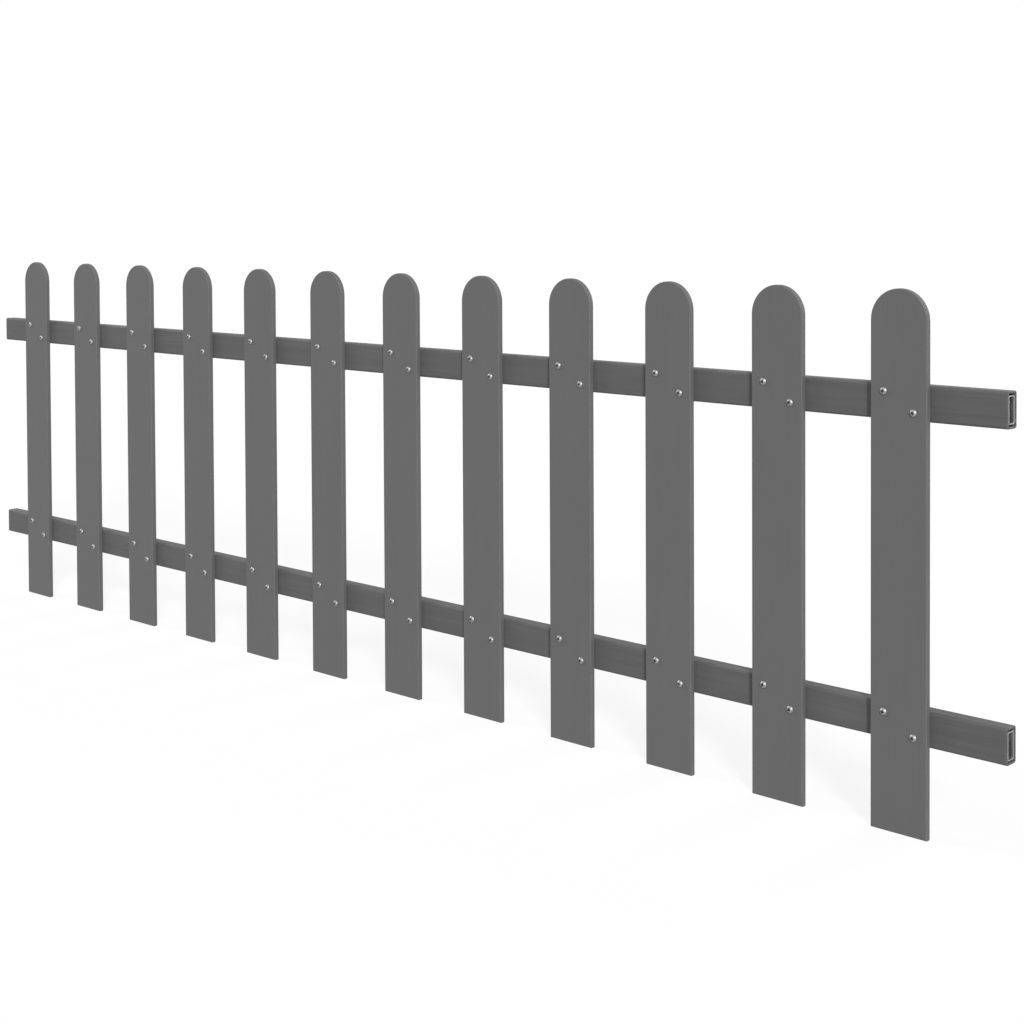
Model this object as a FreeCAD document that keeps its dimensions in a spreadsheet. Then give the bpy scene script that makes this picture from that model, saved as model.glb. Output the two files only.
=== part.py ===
# A picket fence panel, 2 m long and 0.6 m high, of wood-plastic composite boards.
# Twelve round-topped pickets stand in front of two hollow rails, and a metal tube runs inside
# each rail. Two screw heads sit on a diagonal wherever a picket crosses a rail.
# Millimetres, +Z up. X runs along the panel and the pickets face -Y. The origin is on the
# back face of the lower rail, at the middle of its length and of its height.

import FreeCAD, Part
import math
import os
import sys

import Sketcher

SIZES = {
    "picket_count": 12,
    "picket_width": 70,
    "picket_thick": 8,
    "picket_gap": 90,
    "edge_ease": 1.2,
    "foot_drop": 120,  # from the middle of the lower rail down to the pickets' feet
    "rail_spacing": 355,  # from the middle of one rail to the middle of the other
    "head_rise": 125,  # from the middle of the upper rail up to the pickets' tops
    "left_overhang": 80,  # of the rails past the first picket
    "right_overhang": 90,  # of the rails past the last picket
    "rail_height": 40,
    "rail_depth": 20,
    "rail_wall": 2.5,
    "rail_round": 3,
    "cavity_round": 0.8,
    "tube_gap": 2,  # above and below the tube, inside the rail
    "tube_back_gap": 2,  # behind the tube, inside the rail
    "tube_wall": 1.5,
    "tube_round": 2,
    "screw_edge": 16.5,  # from a picket's side to the middle of a screw
    "screw_inset": 2,  # from the inside of the tube's top down to the middle of the upper screw
    "screw_lift": 1,  # from the middle of a rail up to the middle of a pair of screws
    "screw_head": 9,
    "screw_head_rise": 3,
}

# Sizes that follow from the ones above, as the document's expressions.
PITCH = "(sizes.picket_width + sizes.picket_gap)"
PICKET_SPAN = f"(sizes.picket_width + (sizes.picket_count - 1) * {PITCH})"
RAIL_LENGTH = f"({PICKET_SPAN} + sizes.left_overhang + sizes.right_overhang)"
TUBE_HEIGHT = "(sizes.rail_height - 2 * sizes.rail_wall - 2 * sizes.tube_gap)"
TUBE_DEPTH = "(sizes.rail_depth - 2 * sizes.rail_wall - sizes.tube_back_gap)"
TUBE_INSET = "(sizes.rail_wall + sizes.tube_back_gap)"
SCREW_ASIDE = "(sizes.picket_width / 2 - sizes.screw_edge)"
SCREW_ABOVE = f"({TUBE_HEIGHT} / 2 - sizes.tube_wall - sizes.screw_inset - sizes.screw_lift)"

doc = FreeCAD.newDocument("picket_fence_panel")


def make_sheet():
    """The spreadsheet of driving dimensions, one row and one alias for each."""
    sheet = doc.addObject("Spreadsheet::Sheet", "sizes")
    for row, (alias, number) in enumerate(SIZES.items(), start=1):
        sheet.set(f"A{row}", alias)
        sheet.set(f"B{row}", str(number))
        sheet.setAlias(f"B{row}", alias)
    doc.recompute()
    return sheet


sheet = make_sheet()


def value(expression):
    """What an expression on the sheet comes to, for drawing a sketch near its final shape."""
    return float(sheet.evalExpression(expression.replace("sizes.", "")))


def new_body(name):
    body = doc.addObject("PartDesign::Body", name)
    body.Label = name
    return body


def origin_of(body, role):
    """A plane or an axis of the body's own origin, such as XZ_Plane or X_Axis."""
    return next(o for o in body.Origin.OriginFeatures if o.Role == role)


def sketch_on(body, plane, name):
    sketch = body.newObject("Sketcher::SketchObject", name)
    sketch.AttachmentSupport = [(origin_of(body, plane), "")]
    sketch.MapMode = "FlatFace"
    return sketch


def bind(sketch, kind, *where, to):
    """Adds a driving constraint to a sketch and ties it to the sheet."""
    index = sketch.addConstraint(Sketcher.Constraint(kind, *where, value(to)))
    sketch.setExpression(f"Constraints[{index}]", to)


def add_line(sketch, start, end):
    return sketch.addGeometry(Part.LineSegment(FreeCAD.Vector(*start, 0), FreeCAD.Vector(*end, 0)))


def add_arc(sketch, centre, radius, start_angle, end_angle):
    circle = Part.Circle(FreeCAD.Vector(*centre, 0), FreeCAD.Vector(0, 0, 1), radius)
    return sketch.addGeometry(Part.ArcOfCircle(circle, start_angle, end_angle))


def add_rounded_rectangle(sketch, width, height, radius, inset):
    """A rectangle with round corners, to the left of the vertical axis and centred on the
    horizontal one. inset is the distance from the vertical axis to its right side."""
    w, h, r, right = value(width), value(height), value(radius), -value(inset)
    left, top = right - w, h / 2
    centres = ((right - r, top - r), (left + r, top - r), (left + r, r - top), (right - r, r - top))
    sides = (
        ((right - r, top), (left + r, top)),
        ((left, top - r), (left, r - top)),
        ((left + r, -top), (right - r, -top)),
        ((right, r - top), (right, top - r)),
    )
    quarter = math.pi / 2
    arcs = [add_arc(sketch, centre, r, n * quarter, (n + 1) * quarter) for n, centre in enumerate(centres)]
    lines = [add_line(sketch, start, end) for start, end in sides]
    for n, direction in enumerate(("Horizontal", "Vertical", "Horizontal", "Vertical")):
        sketch.addConstraint(Sketcher.Constraint("Tangent", arcs[n], 2, lines[n], 1))
        sketch.addConstraint(Sketcher.Constraint("Tangent", lines[n], 2, arcs[(n + 1) % 4], 1))
        sketch.addConstraint(Sketcher.Constraint(direction, lines[n]))
    for arc in arcs[1:]:
        sketch.addConstraint(Sketcher.Constraint("Equal", arcs[0], arc))
    bind(sketch, "Radius", arcs[0], to=radius)
    bind(sketch, "DistanceX", lines[1], 1, lines[3], 1, to=width)
    bind(sketch, "DistanceY", lines[2], 1, lines[0], 1, to=height)
    bind(sketch, "DistanceX", lines[3], 1, -1, 1, to=inset)
    bind(sketch, "DistanceY", lines[2], 1, -1, 1, to=f"{height} / 2")


def make_hollow_bar(name, level, depth, height, radius, wall, inner_radius, inset):
    """A hollow bar with rounded corners, open at both ends, as long as the panel. level is
    the height of its middle, and inset is how far its back stands in front of the origin."""
    body = new_body(name)
    section = sketch_on(body, "YZ_Plane", "section")
    add_rounded_rectangle(section, depth, height, radius, inset)
    hollow_depth, hollow_height = f"({depth} - 2 * {wall})", f"({height} - 2 * {wall})"
    add_rounded_rectangle(section, hollow_depth, hollow_height, inner_radius, f"({inset} + {wall})")
    bar = body.newObject("PartDesign::Pad", "bar")
    bar.Profile = section
    bar.setExpression("Length", RAIL_LENGTH)
    bar.Midplane = True
    body.setExpression("Placement.Base.z", level)
    return body


def make_rail(name, level):
    """The composite profile that the pickets are screwed to."""
    return make_hollow_bar(
        name,
        level,
        depth="sizes.rail_depth",
        height="sizes.rail_height",
        radius="sizes.rail_round",
        wall="sizes.rail_wall",
        inner_radius="sizes.cavity_round",
        inset="0",
    )


def make_rail_tube(name, level):
    """The metal tube inside a rail, close against the rail's front wall."""
    return make_hollow_bar(
        name,
        level,
        depth=TUBE_DEPTH,
        height=TUBE_HEIGHT,
        radius="sizes.tube_round",
        wall="sizes.tube_wall",
        inner_radius="(sizes.tube_round - sizes.tube_wall)",
        inset=TUBE_INSET,
    )


def place_at_picket(body, number):
    """Puts a body's origin on the picket's front face, between its two lower screws."""
    first = "(sizes.picket_width / 2 + sizes.left_overhang)"
    body.setExpression("Placement.Base.x", f"{first} + {number - 1} * {PITCH} - {RAIL_LENGTH} / 2")
    body.setExpression("Placement.Base.y", "-(sizes.rail_depth + sizes.picket_thick)")
    body.setExpression("Placement.Base.z", "sizes.screw_lift")


def make_picket(number):
    """A board with a half-round top and a square foot, its front and back edges eased."""
    body = new_body(f"picket_{number:02d}")
    outline = sketch_on(body, "XZ_Plane", "outline")
    foot_level = "sizes.foot_drop + sizes.screw_lift"
    spring_level = "sizes.rail_spacing + sizes.head_rise - sizes.picket_width / 2 - sizes.screw_lift"
    side, foot, spring = value("sizes.picket_width / 2"), -value(foot_level), value(spring_level)
    left = add_line(outline, (-side, spring), (-side, foot))
    bottom = add_line(outline, (-side, foot), (side, foot))
    right = add_line(outline, (side, foot), (side, spring))
    top = add_arc(outline, (0, spring), side, 0, math.pi)
    for constraint in (
        ("Coincident", left, 2, bottom, 1),
        ("Coincident", bottom, 2, right, 1),
        ("Tangent", right, 2, top, 1),
        ("Tangent", top, 2, left, 1),
        ("Vertical", left),
        ("Vertical", right),
        ("Horizontal", bottom),
        ("PointOnObject", top, 3, -2),
    ):
        outline.addConstraint(Sketcher.Constraint(*constraint))
    bind(outline, "DistanceX", bottom, 1, bottom, 2, to="sizes.picket_width")
    bind(outline, "DistanceY", bottom, 1, -1, 1, to=foot_level)
    bind(outline, "DistanceY", -1, 1, top, 3, to=spring_level)

    board = body.newObject("PartDesign::Pad", "board")
    board.Profile = outline
    board.setExpression("Length", "sizes.picket_thick")
    board.Reversed = True
    doc.recompute()

    eased = body.newObject("PartDesign::Chamfer", "eased_edges")
    faces = enumerate(board.Shape.Faces, start=1)
    eased.Base = (board, [f"Face{n}" for n, face in faces if abs(face.normalAt(0, 0).y) > 0.9])
    eased.setExpression("Size", "sizes.edge_ease")
    place_at_picket(body, number)
    return body


def make_screws(number):
    """The heads of a picket's four screws: the upper left one of the lower pair is drawn,
    half a turn about the crossing gives its partner, and one step up to the other rail
    gives the second pair. A head is a plain disc, with no shank and no drive recess."""
    body = new_body(f"picket_{number:02d}_screws")
    body.AllowCompound = True
    rim = sketch_on(body, "XZ_Plane", "rim")
    centre = FreeCAD.Vector(-value(SCREW_ASIDE), value(SCREW_ABOVE), 0)
    radius = value("sizes.screw_head / 2")
    circle = rim.addGeometry(Part.Circle(centre, FreeCAD.Vector(0, 0, 1), radius))
    bind(rim, "Radius", circle, to="sizes.screw_head / 2")
    bind(rim, "DistanceX", circle, 3, -1, 1, to=SCREW_ASIDE)
    bind(rim, "DistanceY", -1, 1, circle, 3, to=SCREW_ABOVE)

    head = body.newObject("PartDesign::Pad", "head")
    head.Profile = rim
    head.setExpression("Length", "sizes.screw_head_rise")
    doc.recompute()

    half_turn = body.newObject("PartDesign::PolarPattern", "half_turn")
    half_turn.Axis = (origin_of(body, "Y_Axis"), [""])
    half_turn.Angle = 360
    half_turn.Occurrences = 2
    rail_step = body.newObject("PartDesign::LinearPattern", "rail_step")
    rail_step.Direction = (origin_of(body, "Z_Axis"), [""])
    rail_step.setExpression("Length", "sizes.rail_spacing")
    rail_step.Occurrences = 2
    heads = body.newObject("PartDesign::MultiTransform", "heads")
    heads.Originals = [head]
    heads.Transformations = [half_turn, rail_step]
    body.Tip = heads
    place_at_picket(body, number)
    return body


subparts = []
for rail, level in (("lower_rail", "0"), ("upper_rail", "sizes.rail_spacing")):
    subparts.append(make_rail(rail, level))
    subparts.append(make_rail_tube(f"{rail}_tube", level))
for number in range(1, int(value("sizes.picket_count")) + 1):
    subparts.append(make_picket(number))
    subparts.append(make_screws(number))
doc.recompute()

faults = [o.Name for o in doc.Objects if "Invalid" in o.State or "Error" in o.State]
faults += [o.Name for o in doc.Objects if hasattr(o, "FullyConstrained") and not o.FullyConstrained]
faults += [b.Label for b in subparts if b.Shape.isNull() or not b.Shape.isValid()]
if faults:
    sys.exit(f"these objects failed: {sorted(set(faults))}")

os.makedirs("parts", exist_ok=True)
for body in subparts:
    body.Shape.exportStep(f"parts/{body.Label}.step")
    box = body.Shape.optimalBoundingBox(False)
    print(
        f"{body.Label}: {len(body.Shape.Solids)} solids, {body.Shape.Volume:.0f} mm3,"
        f" x {box.XMin:.1f} to {box.XMax:.1f}, y {box.YMin:.1f} to {box.YMax:.1f},"
        f" z {box.ZMin:.1f} to {box.ZMax:.1f}"
    )
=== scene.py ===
import math
import random

import bmesh
import bpy
from mathutils import Matrix, Vector


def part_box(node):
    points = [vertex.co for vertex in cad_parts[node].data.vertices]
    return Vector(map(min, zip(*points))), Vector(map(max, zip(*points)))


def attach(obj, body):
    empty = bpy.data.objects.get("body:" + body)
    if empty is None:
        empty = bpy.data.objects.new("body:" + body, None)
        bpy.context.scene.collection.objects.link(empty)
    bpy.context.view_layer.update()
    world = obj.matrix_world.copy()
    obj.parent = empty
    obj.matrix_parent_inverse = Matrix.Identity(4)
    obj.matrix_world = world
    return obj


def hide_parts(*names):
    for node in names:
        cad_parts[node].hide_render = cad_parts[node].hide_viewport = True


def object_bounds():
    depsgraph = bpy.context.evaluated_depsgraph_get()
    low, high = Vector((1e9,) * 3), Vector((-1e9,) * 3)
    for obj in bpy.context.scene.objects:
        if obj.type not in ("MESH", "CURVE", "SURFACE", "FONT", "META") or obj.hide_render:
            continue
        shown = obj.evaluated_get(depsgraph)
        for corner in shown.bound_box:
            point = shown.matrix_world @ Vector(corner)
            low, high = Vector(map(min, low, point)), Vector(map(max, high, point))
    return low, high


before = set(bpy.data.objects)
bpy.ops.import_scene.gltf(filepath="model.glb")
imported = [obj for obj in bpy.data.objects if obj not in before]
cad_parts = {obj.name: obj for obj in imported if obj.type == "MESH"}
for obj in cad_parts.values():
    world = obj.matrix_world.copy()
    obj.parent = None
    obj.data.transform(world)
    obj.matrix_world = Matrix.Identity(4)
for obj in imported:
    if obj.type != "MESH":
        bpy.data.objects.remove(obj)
cad_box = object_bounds()

MM = 0.001
PICKETS = 12
SCREW_SEED = 12
random.seed(SCREW_SEED)

# The camera, from the photo's perspective of the rails and boards
IMAGE_SIZE = 1024
SENSOR_WIDTH = 36.0
FOCAL_PIXELS = 1714.7
CENTRE_U = 511.5
CENTRE_V = 257.5
CAMERA_PLACE = Vector((1.8537, -1.6728, 0.5642))
CAMERA_YAW = -0.75879
CAMERA_PITCH = 0.02596
CAMERA_ROLL = 0.00481
CLIP_START = 0.01
CLIP_END = 200.0

# Boards
RIM_ROUND = 1.2 * MM
RIM_STEPS = 5
HEAD_STEPS = 48

# Rails and tubes: hollow bars with rounded corners and sawn ends
RAIL_WALL = 2.5 * MM
RAIL_CORNER = 3.0 * MM
RAIL_INNER_CORNER = 0.8 * MM
TUBE_WALL = 1.5 * MM
TUBE_CORNER = 2.0 * MM
TUBE_INNER_CORNER = 0.5 * MM
LEAST_CORNER = 0.05 * MM
CORNER_STEPS = 8
SAWN_EASE = 0.35 * MM
SAWN_REACH = 4.0 * MM

# Screw heads: a low dome on a short side, with a seat that is a little narrower
SCREW_HEAD_WIDTH = 9.0 * MM
SCREW_HEAD_RISE = 3.0 * MM
SCREW_HEAD_SIDE = 0.4 * MM
SCREW_SEAT_SHARE = 0.96
SCREW_SEAT_BEVEL = 0.1 * MM
SCREW_STEPS = 48
DOME_STEPS = 9

# Their cross recess: its span and the width of its arms, how far out the corners between the
# arms lie along X and along Z, and the factors by which it widens to its mouth, which is cut
# from above the dome, and narrows to its floor
CROSS_SPAN = 5.0 * MM
CROSS_ARM = 1.3 * MM
CROSS_HEART = 1.15 * MM
CROSS_DEPTH = 2.3 * MM
CROSS_MOUTH = 1.12
CROSS_MOUTH_RISE = 1.3
CROSS_TAPER = 0.42

# A head's face has the recess's darker metal, a painted shade in the cross's hollow, where
# it lies this near the axis, as a share of the cross's span, and this far under the dome
# and over the seat
RECESS_REACH = 0.56
RECESS_UNDER_DOME = 0.06 * MM
RECESS_OVER_SEAT = 0.05 * MM

# Screw shanks: plain near the head, threaded where they stand in the metal tube, then a tip.
# A thread rises, peaks and ends at shares of its pitch, and the tip's widths are shares too.
SHANK_WIDTH = 3.9 * MM
SHANK_LENGTH = 19.0 * MM
SHANK_STEPS = 16
THREADED_FROM = 11.0 * MM
THREAD_PITCH = 1.4 * MM
THREAD_HEIGHT = 0.45 * MM
THREAD_START = 0.35
THREAD_PEAK = 0.6
THREAD_END = 0.85
TIP_LENGTH = 4.0 * MM
TIP_POINT = 1.3 * MM
TIP_WIDE = 0.86
TIP_NARROW = 0.8

# The heads' places are found to this weld distance and ordered by so many digits of a metre
WELD_DISTANCE = 0.01 * MM
ORDER_DIGITS = 4
SCREW_TURN_SPREAD = math.pi / 2

# Noise patterns, with scales in cells a metre along X, Y and Z
GRAIN = {"detail": 3.0}
STREAKS = {"detail": 5.0, "roughness": 0.6, "offset": (3.1, 1.7, 5.3)}
CLOUDS = {"scale": (14.0, 14.0, 9.0), "detail": 3.0, "offset": (0.4, 0.2, 0.9)}
SPECKS = {"scale": (1900.0, 1900.0, 1900.0), "detail": 2.0}
PATCHES = {"scale": (160.0, 160.0, 60.0), "detail": 3.0, "offset": (7.0, 2.0, 1.0)}
SCRATCHES = {"detail": 4.0}
SMEARS = {"scale": (90.0, 90.0, 90.0), "detail": 2.0, "offset": (2.0, 5.0, 8.0)}

# The part of a pattern's values that is spread over the range it sets
NOISE_SPAN = (0.3, 0.7)
STREAK_SPAN = (0.28, 0.72)
PATCH_SPAN = (0.42, 0.62)
WHOLE_SPAN = (0.0, 1.0)

# The composite: a depth is the share by which a pattern lightens and darkens it, and the last
# factor is how much lighter the rims are, a painted highlight along the edges with patches of wear
PICKET_COMPOSITE = {
    "tone": 0.139,
    "grain": (1100.0, 1100.0, 14.0),
    "streaks": (95.0, 95.0, 3.0),
    "streak_depth": 0.02,
    "rim_highlight_and_wear": 1.2,
}
RAIL_COMPOSITE = {
    "tone": 0.113,
    "grain": (16.0, 1100.0, 1100.0),
    "streaks": (7.0, 160.0, 160.0),
    "streak_depth": 0.12,
    "rim_highlight_and_wear": 1.22,
}
GRAIN_DEPTH = 0.035
CLOUD_DEPTH = 0.03
SPECK_DEPTH = 0.03
COMPOSITE_ROUGH = (0.56, 0.66)
GRAIN_ROUGH = 0.05
COMPOSITE_SPECULAR = 0.35
GRAIN_BUMP = {"distance": 0.12 * MM, "strength": 0.35}
STREAK_BUMP = {"distance": 0.4 * MM, "strength": 0.25}
SPECK_BUMP = {"distance": 0.06 * MM, "strength": 0.4}

# The metals
TUBE_METAL = {
    "tone": 0.34,
    "roughness": 0.52,
    "scratches": (9.0, 900.0, 900.0),
    "scratch_depth": 0.05 * MM,
}
HEAD_METAL = {
    "tone": 0.32,
    "roughness": 0.48,
    "scratches": (700.0, 700.0, 700.0),
    "scratch_depth": 0.01 * MM,
}
# The recess's metal is darker than the head's: painted shade in the hollow of the cross
RECESS_SHADE_METAL = {
    "tone": 0.12,
    "roughness": 0.5,
    "scratches": (700.0, 700.0, 700.0),
    "scratch_depth": 0.02 * MM,
}
METAL_DARKEST = 0.93
METAL_LIGHTEST = 1.05
SMEAR_ROUGH = 0.06
SCRATCH_ROUGH = 0.03
SCRATCH_STRENGTH = 0.4

# Lights
WHITE = (1, 1, 1, 1)
WORLD_LIGHT = 0.27
KEY_TOWARD = Vector((0.72, -0.56, 0.44))
KEY_STRENGTH = 2.6
KEY_ANGLE = math.radians(12)
FILL_TOWARD = Vector((-0.83, -0.24, 0.44))
FILL_STRENGTH = 0.8
FILL_ANGLE = math.radians(14)
BACK_TOWARD = Vector((0.05, 0.95, 0.14))
BACK_STRENGTH = 1.5
BACK_ANGLE = math.radians(30)
FLOOR_SIZE = 80.0
FLOOR_TONE = 0.45
FLOOR_ROUGH = 0.9
FLOOR_GLOW = 0.6
FLOOR_GLOW_STRENGTH = 1.43


def link(obj):
    bpy.context.scene.collection.objects.link(obj)
    return obj


def mesh_object(name, mesh):
    return link(bpy.data.objects.new(name, mesh))


def finish_mesh(name, bm):
    mesh = bpy.data.meshes.new(name)
    bmesh.ops.recalc_face_normals(bm, faces=bm.faces)
    bm.to_mesh(mesh)
    bm.free()
    return mesh


def even_normals(piece):
    even = piece.modifiers.new("even_normals", "WEIGHTED_NORMAL")
    even.keep_sharp = False


# Materials
def new_material(name):
    material = bpy.data.materials.new(name)
    material.use_nodes = True
    tree = material.node_tree
    shader = tree.nodes["Principled BSDF"]
    return material, tree, shader


def add_node(tree, kind, **settings):
    node = tree.nodes.new(kind)
    for key, value in settings.items():
        setattr(node, key, value)
    return node


def stretched_noise(tree, scale, detail, roughness=0.55, offset=(0, 0, 0)):
    """A noise pattern stretched along an axis: scale is in cells a metre along X, Y and Z."""
    where = add_node(tree, "ShaderNodeTexCoord")
    mapping = add_node(tree, "ShaderNodeMapping")
    mapping.inputs["Scale"].default_value = scale
    mapping.inputs["Location"].default_value = offset
    noise = add_node(tree, "ShaderNodeTexNoise")
    noise.inputs["Scale"].default_value = 1.0
    noise.inputs["Detail"].default_value = detail
    noise.inputs["Roughness"].default_value = roughness
    tree.links.new(where.outputs["Object"], mapping.inputs["Vector"])
    tree.links.new(mapping.outputs["Vector"], noise.inputs["Vector"])
    return noise.outputs["Fac"]


def ramp(tree, value, to_low, to_high, span=NOISE_SPAN):
    """Spreads the part of the values that span gives over the range from to_low to to_high."""
    node = add_node(tree, "ShaderNodeMapRange")
    node.inputs["From Min"].default_value = span[0]
    node.inputs["From Max"].default_value = span[1]
    node.inputs["To Min"].default_value = to_low
    node.inputs["To Max"].default_value = to_high
    tree.links.new(value, node.inputs["Value"])
    return node.outputs["Result"]


def math_node(tree, operation, first, second):
    node = add_node(tree, "ShaderNodeMath", operation=operation)
    for socket, value in zip(node.inputs, (first, second)):
        if isinstance(value, (int, float)):
            socket.default_value = value
        else:
            tree.links.new(value, socket)
    return node.outputs["Value"]


def grey(tree, value):
    node = add_node(tree, "ShaderNodeCombineColor")
    for channel in ("Red", "Green", "Blue"):
        tree.links.new(value, node.inputs[channel])
    return node.outputs["Color"]


def bump(tree, height, distance, strength, before=None):
    node = add_node(tree, "ShaderNodeBump")
    node.inputs["Distance"].default_value = distance
    node.inputs["Strength"].default_value = strength
    tree.links.new(height, node.inputs["Height"])
    if before is not None:
        tree.links.new(before, node.inputs["Normal"])
    return node.outputs["Normal"]


def composite_material(name, tone, grain, streaks, streak_depth, rim_highlight_and_wear):
    """Brushed grey wood composite. grain and streaks are noise scales along X, Y and Z, and the
    last argument is how much lighter it is where the mesh's rim attribute is 1: a painted
    highlight along rounded and sawn edges, broken into patches like wear."""
    material, tree, shader = new_material(name)
    lines = stretched_noise(tree, grain, **GRAIN)
    bands = stretched_noise(tree, streaks, **STREAKS)
    clouds = stretched_noise(tree, **CLOUDS)
    specks = stretched_noise(tree, **SPECKS)
    value = ramp(tree, lines, 1 - GRAIN_DEPTH, 1 + GRAIN_DEPTH)
    for pattern, depth, span in (
        (bands, streak_depth, STREAK_SPAN),
        (clouds, CLOUD_DEPTH, NOISE_SPAN),
        (specks, SPECK_DEPTH, NOISE_SPAN),
    ):
        value = math_node(tree, "MULTIPLY", value, ramp(tree, pattern, 1 - depth, 1 + depth, span))
    value = math_node(tree, "MULTIPLY", value, tone)
    # Painted highlight along the rims: the rim attribute, broken into patches like wear, lightens the
    # colour there
    rim = add_node(tree, "ShaderNodeAttribute", attribute_name="rim").outputs["Fac"]
    patches = stretched_noise(tree, **PATCHES)
    rim_highlight_patches = math_node(tree, "MULTIPLY", rim, ramp(tree, patches, 0.0, 1.0, PATCH_SPAN))
    value = math_node(tree, "MULTIPLY", value, ramp(tree, rim_highlight_patches, 1.0, rim_highlight_and_wear, WHOLE_SPAN))
    tree.links.new(grey(tree, value), shader.inputs["Base Color"])
    rough = math_node(
        tree, "ADD", ramp(tree, lines, -GRAIN_ROUGH, GRAIN_ROUGH),
        ramp(tree, clouds, *COMPOSITE_ROUGH),
    )
    tree.links.new(rough, shader.inputs["Roughness"])
    normal = bump(tree, lines, **GRAIN_BUMP)
    normal = bump(tree, bands, **STREAK_BUMP, before=normal)
    normal = bump(tree, specks, **SPECK_BUMP, before=normal)
    tree.links.new(normal, shader.inputs["Normal"])
    shader.inputs["Specular IOR Level"].default_value = COMPOSITE_SPECULAR
    return material


def metal_material(name, tone, roughness, scratches, scratch_depth):
    """Plain grey metal with fine scratches and faint smears. scratches is a noise scale."""
    material, tree, shader = new_material(name)
    lines = stretched_noise(tree, scratches, **SCRATCHES)
    smears = stretched_noise(tree, **SMEARS)
    value = ramp(tree, lines, tone * METAL_DARKEST, tone * METAL_LIGHTEST)
    tree.links.new(grey(tree, value), shader.inputs["Base Color"])
    shader.inputs["Metallic"].default_value = 1.0
    rough = math_node(
        tree, "ADD", ramp(tree, smears, roughness - SMEAR_ROUGH, roughness + SMEAR_ROUGH),
        ramp(tree, lines, -SCRATCH_ROUGH, SCRATCH_ROUGH),
    )
    tree.links.new(rough, shader.inputs["Roughness"])
    tree.links.new(bump(tree, lines, scratch_depth, SCRATCH_STRENGTH), shader.inputs["Normal"])
    return material


picket_material = composite_material("picket_composite", **PICKET_COMPOSITE)
rail_material = composite_material("rail_composite", **RAIL_COMPOSITE)
tube_material = metal_material("tube_aluminium", **TUBE_METAL)
head_material = metal_material("screw_steel", **HEAD_METAL)
recess_shade_material = metal_material("screw_recess_shade", **RECESS_SHADE_METAL)


# Boards with half-round heads and rounded edges
def board_ring(left, right, foot, top, inset, depth):
    """The board's outline, drawn in by inset, at one depth: foot, right side, head, left side."""
    centre_x = (left + right) / 2
    radius = (right - left) / 2
    shoulder = top - radius
    reach = radius - inset
    points = [Vector((left + inset, depth, foot + inset)), Vector((right - inset, depth, foot + inset))]
    for step in range(HEAD_STEPS + 1):
        angle = math.pi * step / HEAD_STEPS
        x = centre_x + reach * math.cos(angle)
        z = shoulder + reach * math.sin(angle)
        points.append(Vector((x, depth, z)))
    return points


def make_board(name, node):
    """A board whose front and back edges are rounded. The rim attribute is 0 on the flat faces
    and nears 1 in the middle of each rounding, where the composite lightens the colour: a
    painted highlight along the rounded edges, broken into patches like wear."""
    low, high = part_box(node)
    bm = bmesh.new()
    rim = bm.verts.layers.float.new("rim")
    layers = []
    for step in range(RIM_STEPS + 1):
        angle = math.pi / 2 * step / RIM_STEPS
        inset = RIM_ROUND * (1 - math.sin(angle))
        behind = RIM_ROUND * (1 - math.cos(angle))
        layers.append((inset, low.y + behind, math.sin(2 * angle)))
    for inset, depth, rim_highlight_and_wear in list(reversed(layers)):
        layers.append((inset, low.y + high.y - depth, rim_highlight_and_wear))
    rings = []
    for inset, depth, rim_highlight_and_wear in layers:
        ring = [bm.verts.new(point) for point in board_ring(low.x, high.x, low.z, high.z, inset, depth)]
        for vert in ring:
            vert[rim] = rim_highlight_and_wear
        rings.append(ring)
    count = len(rings[0])
    for first, second in zip(rings, rings[1:]):
        for index in range(count):
            after = (index + 1) % count
            bm.faces.new((first[index], first[after], second[after], second[index]))
    bm.faces.new(rings[0])
    bm.faces.new(list(reversed(rings[-1])))
    for face in bm.faces:
        face.smooth = True
    mesh = finish_mesh(name, bm)
    mesh.materials.append(picket_material)
    board = mesh_object(name, mesh)
    even_normals(board)
    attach(board, "root")
    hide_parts(node)


# Rails and tubes
def bar_ring(low, high, place, inset, corner):
    """A rounded rectangle in Y and Z, drawn in by inset, at one place along X."""
    radius = max(corner - inset, LEAST_CORNER)
    left, right = low.y + inset + radius, high.y - inset - radius
    bottom, top = low.z + inset + radius, high.z - inset - radius
    points = []
    for number, (y, z) in enumerate(((right, top), (left, top), (left, bottom), (right, bottom))):
        for step in range(CORNER_STEPS + 1):
            angle = math.pi / 2 * (number + step / CORNER_STEPS)
            points.append(Vector((place, y + radius * math.cos(angle), z + radius * math.sin(angle))))
    return points


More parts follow.
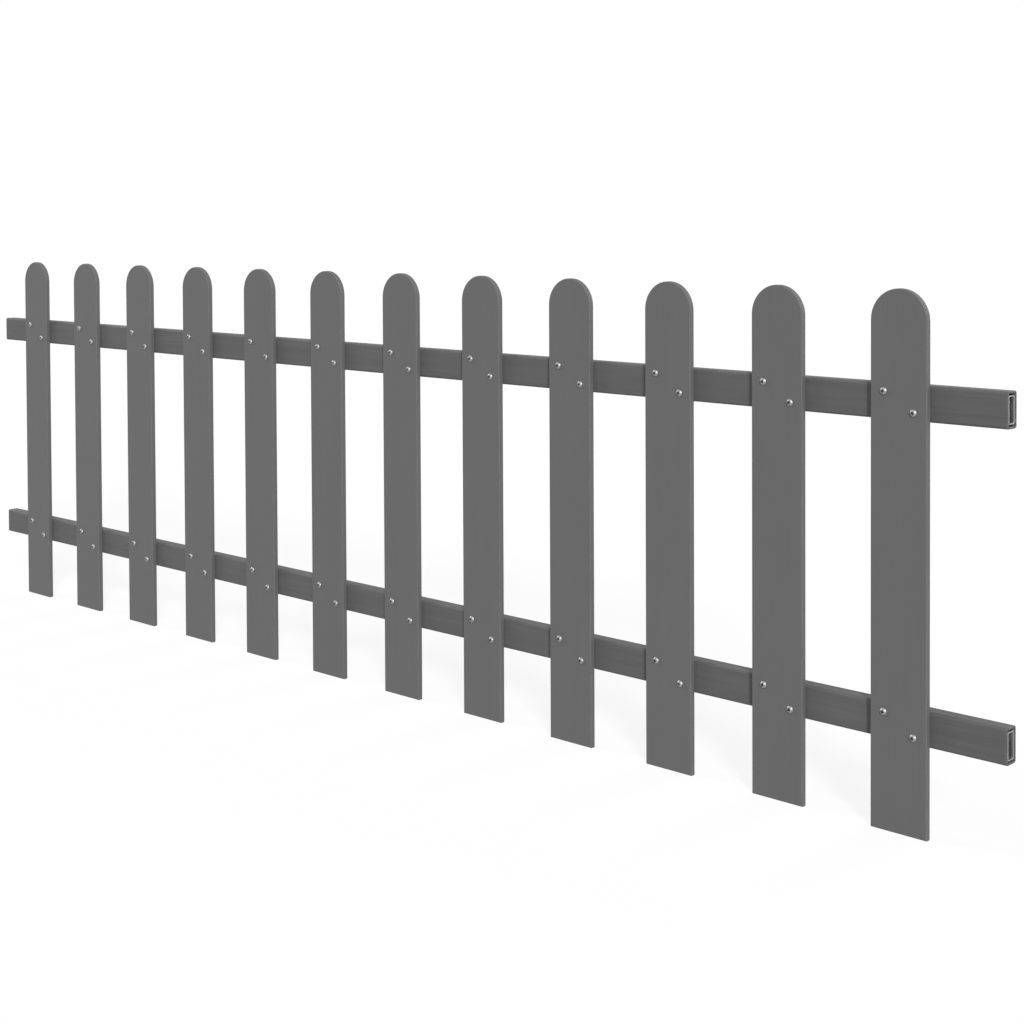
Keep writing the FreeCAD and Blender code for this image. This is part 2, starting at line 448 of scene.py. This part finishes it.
def make_bar(name, node, wall, corner, inner_corner, material):
    """A hollow bar, open at both ends, whose sawn edges are eased. The rim attribute is 1 at
    the ends and falls to 0 a little way in; on a rail the composite lightens the colour there,
    a painted highlight on the sawn ends broken into patches like wear."""
    low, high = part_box(node)
    inside_low, inside_high = low + Vector((0, wall, wall)), high - Vector((0, wall, wall))
    sawn_end = ((0, SAWN_EASE, 1), (SAWN_EASE, 0, 1), (SAWN_REACH, 0, 0))
    stations = [(low.x + offset, ease, rim_highlight_and_wear) for offset, ease, rim_highlight_and_wear in sawn_end]
    stations += [(high.x - offset, ease, rim_highlight_and_wear) for offset, ease, rim_highlight_and_wear in reversed(sawn_end)]
    bm = bmesh.new()
    rim = bm.verts.layers.float.new("rim")
    outer, inner = [], []
    for place, ease, rim_highlight_and_wear in stations:
        for rings, bounds, inset, radius in (
            (outer, (low, high), ease, corner),
            (inner, (inside_low, inside_high), -ease, inner_corner),
        ):
            ring = [bm.verts.new(point) for point in bar_ring(*bounds, place, inset, radius)]
            for vert in ring:
                vert[rim] = rim_highlight_and_wear
            rings.append(ring)
    count = len(outer[0])
    strips = list(zip(outer, outer[1:])) + list(zip(inner, inner[1:]))
    strips += [(outer[0], inner[0]), (outer[-1], inner[-1])]
    for first, second in strips:
        for index in range(count):
            after = (index + 1) % count
            face = bm.faces.new((first[index], first[after], second[after], second[index]))
            face.smooth = True
    mesh = finish_mesh(name, bm)
    mesh.materials.append(material)
    bar = mesh_object(name, mesh)
    even_normals(bar)
    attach(bar, "root")
    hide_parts(node)


# Screws
def revolve(bm, profile, steps):
    """Turns (radius, depth) points round the Y axis. A radius of 0 closes the end."""
    rings = []
    for radius, depth in profile:
        if radius == 0:
            rings.append([bm.verts.new((0, depth, 0))])
            continue
        ring = []
        for step in range(steps):
            angle = 2 * math.pi * step / steps
            ring.append(bm.verts.new((radius * math.cos(angle), depth, radius * math.sin(angle))))
        rings.append(ring)
    for first, second in zip(rings, rings[1:]):
        for step in range(steps):
            after = (step + 1) % steps
            corners = [first[step % len(first)], first[after % len(first)]]
            corners += [second[after % len(second)], second[step % len(second)]]
            face = bm.faces.new(list(dict.fromkeys(corners)))
            face.smooth = True


def cross_cutter():
    """The solid that cuts the cross recess, from above the dome down to the recess's floor."""
    span = CROSS_SPAN / 2
    arm = CROSS_ARM / 2
    heart = CROSS_HEART
    cross = [(span, -arm), (span, arm), (heart, heart), (arm, span), (-arm, span), (-heart, heart)]
    cross += [(-x, -z) for x, z in cross]
    above = -SCREW_HEAD_RISE * CROSS_MOUTH_RISE
    bottom = -SCREW_HEAD_RISE + CROSS_DEPTH
    bm = bmesh.new()
    mouth = [bm.verts.new((x * CROSS_MOUTH, above, z * CROSS_MOUTH)) for x, z in cross]
    floor = [bm.verts.new((x * CROSS_TAPER, bottom, z * CROSS_TAPER)) for x, z in cross]
    for index in range(len(cross)):
        after = (index + 1) % len(cross)
        bm.faces.new((mouth[index], mouth[after], floor[after], floor[index]))
    bm.faces.new(mouth)
    bm.faces.new(floor)
    return mesh_object("head_cutter", finish_mesh("head_cutter", bm))


def head_mesh():
    """One head, its seat at the origin and its dome toward -Y, with the cross cut out of it."""
    half = SCREW_HEAD_WIDTH / 2
    dome_rise = SCREW_HEAD_RISE - SCREW_HEAD_SIDE
    dome_radius = (half ** 2 + dome_rise ** 2) / (2 * dome_rise)
    dome_middle = dome_radius - SCREW_HEAD_RISE
    widest = math.asin(half / dome_radius)
    profile = [(0, 0), (half * SCREW_SEAT_SHARE, 0), (half, -SCREW_SEAT_BEVEL)]
    for step in range(DOME_STEPS):
        angle = widest * (1 - step / DOME_STEPS)
        profile.append((dome_radius * math.sin(angle), dome_middle - dome_radius * math.cos(angle)))
    profile.append((0, -SCREW_HEAD_RISE))
    bm = bmesh.new()
    revolve(bm, profile, SCREW_STEPS)
    body = mesh_object("head_body", finish_mesh("head_body", bm))
    cutter = cross_cutter()
    cut = body.modifiers.new("cross", "BOOLEAN")
    cut.object = cutter
    cut.operation = "DIFFERENCE"
    cut.solver = "EXACT"
    bpy.context.view_layer.update()
    shaped = body.evaluated_get(bpy.context.evaluated_depsgraph_get())
    mesh = bpy.data.meshes.new_from_object(shaped)
    mesh.materials.clear()
    mesh.materials.append(head_material)
    mesh.materials.append(recess_shade_material)
    # Faces inside the cross take the darker metal, which paints the shade in the hollow
    for face in mesh.polygons:
        depth = face.center.y
        across = math.hypot(face.center.x, face.center.z)
        dome_here = dome_middle - math.sqrt(dome_radius ** 2 - across ** 2)
        under_dome = depth > dome_here + RECESS_UNDER_DOME
        over_seat = depth < -RECESS_OVER_SEAT
        inside = across < CROSS_SPAN * RECESS_REACH and under_dome and over_seat
        face.material_index = 1 if inside else 0
        face.use_smooth = not inside
    bpy.data.objects.remove(body)
    bpy.data.objects.remove(cutter)
    return mesh


def shank_mesh():
    """The shank from under the head to its drill point, threaded where it stands in the tube."""
    half = SHANK_WIDTH / 2
    profile = [(0, 0), (half, 0), (half, THREADED_FROM)]
    depth = THREADED_FROM
    thread_end = SHANK_LENGTH - TIP_LENGTH
    while depth + THREAD_PITCH <= thread_end:
        profile.append((half, depth + THREAD_PITCH * THREAD_START))
        profile.append((half + THREAD_HEIGHT, depth + THREAD_PITCH * THREAD_PEAK))
        profile.append((half, depth + THREAD_PITCH * THREAD_END))
        depth += THREAD_PITCH
    profile.append((half * TIP_WIDE, thread_end))
    profile.append((half * TIP_NARROW, SHANK_LENGTH - TIP_POINT))
    profile.append((0, SHANK_LENGTH))
    bm = bmesh.new()
    revolve(bm, profile, SHANK_STEPS)
    mesh = finish_mesh("shank", bm)
    mesh.materials.append(head_material)
    return mesh


def screw_places(node):
    """The middles of the CAD node's separate heads, found from its own loose parts."""
    bm = bmesh.new()
    bm.from_mesh(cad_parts[node].data)
    bmesh.ops.remove_doubles(bm, verts=bm.verts, dist=WELD_DISTANCE)
    seen, places = set(), []
    for start in bm.verts:
        if start in seen:
            continue
        group, waiting = [], [start]
        seen.add(start)
        while waiting:
            vert = waiting.pop()
            group.append(vert.co.copy())
            for edge in vert.link_edges:
                other = edge.other_vert(vert)
                if other not in seen:
                    seen.add(other)
                    waiting.append(other)
        middle_x = (min(p.x for p in group) + max(p.x for p in group)) / 2
        middle_z = (min(p.z for p in group) + max(p.z for p in group)) / 2
        places.append(Vector((middle_x, max(p.y for p in group), middle_z)))
    bm.free()
    return sorted(places, key=lambda p: (round(p.z, ORDER_DIGITS), round(p.x, ORDER_DIGITS)))


def make_screws(name, node, head, shank):
    """The screws of one board, each turned at random about its own axis."""
    bm = bmesh.new()
    for place in screw_places(node):
        turn = Matrix.Rotation(random.uniform(0, SCREW_TURN_SPREAD), 4, "Y")
        for part in (head, shank):
            copy = part.copy()
            copy.transform(Matrix.Translation(place) @ turn)
            bm.from_mesh(copy)
            bpy.data.meshes.remove(copy)
    mesh = bpy.data.meshes.new(name)
    bm.to_mesh(mesh)
    bm.free()
    mesh.materials.append(head_material)
    mesh.materials.append(recess_shade_material)
    screws = mesh_object(name, mesh)
    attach(screws, "root")
    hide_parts(node)


head = head_mesh()
shank = shank_mesh()
for number in range(1, PICKETS + 1):
    node = f"picket_{number:02d}"
    make_board(f"{node}_board", node)
    make_screws(f"{node}_screw_set", f"{node}_screws", head, shank)

for level in ("lower", "upper"):
    make_bar(
        f"{level}_rail_profile", f"{level}_rail", RAIL_WALL, RAIL_CORNER, RAIL_INNER_CORNER,
        rail_material,
    )
    make_bar(
        f"{level}_tube_profile", f"{level}_rail_tube", TUBE_WALL, TUBE_CORNER, TUBE_INNER_CORNER,
        tube_material,
    )


# Floor, world, lamps and camera
def make_floor():
    """A grey floor at the feet that takes the panel's shadow and glows white to the camera."""
    level = cad_box[0].z
    half = FLOOR_SIZE / 2
    bm = bmesh.new()
    corners = [(-half, -half), (half, -half), (half, half), (-half, half)]
    bm.faces.new([bm.verts.new((x, y, level)) for x, y in corners])
    mesh = finish_mesh("floor", bm)
    material, tree, shader = new_material("floor_white")
    shader.inputs["Base Color"].default_value = (FLOOR_TONE, FLOOR_TONE, FLOOR_TONE, 1)
    shader.inputs["Roughness"].default_value = FLOOR_ROUGH
    shader.inputs["Specular IOR Level"].default_value = 0.0
    glow = add_node(tree, "ShaderNodeEmission")
    glow.inputs["Strength"].default_value = FLOOR_GLOW_STRENGTH
    path = add_node(tree, "ShaderNodeLightPath")
    seen = math_node(tree, "MAXIMUM", path.outputs["Is Camera Ray"], path.outputs["Is Glossy Ray"])
    share = math_node(tree, "MULTIPLY", seen, FLOOR_GLOW)
    mix = add_node(tree, "ShaderNodeMixShader")
    tree.links.new(share, mix.inputs["Fac"])
    tree.links.new(shader.outputs["BSDF"], mix.inputs[1])
    tree.links.new(glow.outputs["Emission"], mix.inputs[2])
    tree.links.new(mix.outputs["Shader"], tree.nodes["Material Output"].inputs["Surface"])
    mesh.materials.append(material)
    mesh_object("floor", mesh)


def make_world():
    """An even light that the camera and mirrored or clear surfaces see as plain white."""
    world = bpy.data.worlds.new("studio")
    bpy.context.scene.world = world
    world.use_nodes = True
    tree = world.node_tree
    light = tree.nodes["Background"]
    light.inputs["Color"].default_value = WHITE
    light.inputs["Strength"].default_value = WORLD_LIGHT
    white = add_node(tree, "ShaderNodeBackground")
    white.inputs["Color"].default_value = WHITE
    white.inputs["Strength"].default_value = 1.0
    path = add_node(tree, "ShaderNodeLightPath")
    seen = math_node(tree, "MAXIMUM", path.outputs["Is Camera Ray"], path.outputs["Is Glossy Ray"])
    seen = math_node(tree, "MAXIMUM", seen, path.outputs["Is Transmission Ray"])
    mix = add_node(tree, "ShaderNodeMixShader")
    tree.links.new(seen, mix.inputs["Fac"])
    tree.links.new(light.outputs["Background"], mix.inputs[1])
    tree.links.new(white.outputs["Background"], mix.inputs[2])
    tree.links.new(mix.outputs["Shader"], tree.nodes["World Output"].inputs["Surface"])


def make_lamp(name, toward, strength, angle):
    """A wide, soft and far lamp. toward points from the panel to the lamp."""
    data = bpy.data.lights.new(name, "SUN")
    data.energy = strength
    data.angle = angle
    lamp = link(bpy.data.objects.new(name, data))
    lamp.rotation_mode = "QUATERNION"
    lamp.rotation_quaternion = toward.to_track_quat("Z", "Y")


def make_camera():
    """A pinhole camera whose image centre is shifted by the lens shift."""
    data = bpy.data.cameras.new("camera")
    data.sensor_fit = "HORIZONTAL"
    data.sensor_width = SENSOR_WIDTH
    data.lens = FOCAL_PIXELS * SENSOR_WIDTH / IMAGE_SIZE
    data.shift_x = (IMAGE_SIZE / 2 - CENTRE_U) / IMAGE_SIZE
    data.shift_y = (CENTRE_V - IMAGE_SIZE / 2) / IMAGE_SIZE
    data.clip_start = CLIP_START
    data.clip_end = CLIP_END
    forward = Vector((
        math.sin(CAMERA_YAW) * math.cos(CAMERA_PITCH),
        math.cos(CAMERA_YAW) * math.cos(CAMERA_PITCH),
        -math.sin(CAMERA_PITCH),
    ))
    level_right = Vector((math.cos(CAMERA_YAW), -math.sin(CAMERA_YAW), 0))
    level_down = forward.cross(level_right)
    right = level_right * math.cos(CAMERA_ROLL) + level_down * math.sin(CAMERA_ROLL)
    up = level_right * math.sin(CAMERA_ROLL) - level_down * math.cos(CAMERA_ROLL)
    turn = Matrix((right, up, -forward)).transposed().to_4x4()
    camera = link(bpy.data.objects.new("camera", data))
    camera.matrix_world = Matrix.Translation(CAMERA_PLACE) @ turn
    bpy.context.scene.camera = camera


make_floor()
make_world()
make_lamp("key", KEY_TOWARD, KEY_STRENGTH, KEY_ANGLE)
make_lamp("fill", FILL_TOWARD, FILL_STRENGTH, FILL_ANGLE)
make_lamp("back", BACK_TOWARD, BACK_STRENGTH, BACK_ANGLE)
make_camera()
bpy.context.scene.view_settings.view_transform = "Standard"

bpy.context.view_layer.update()
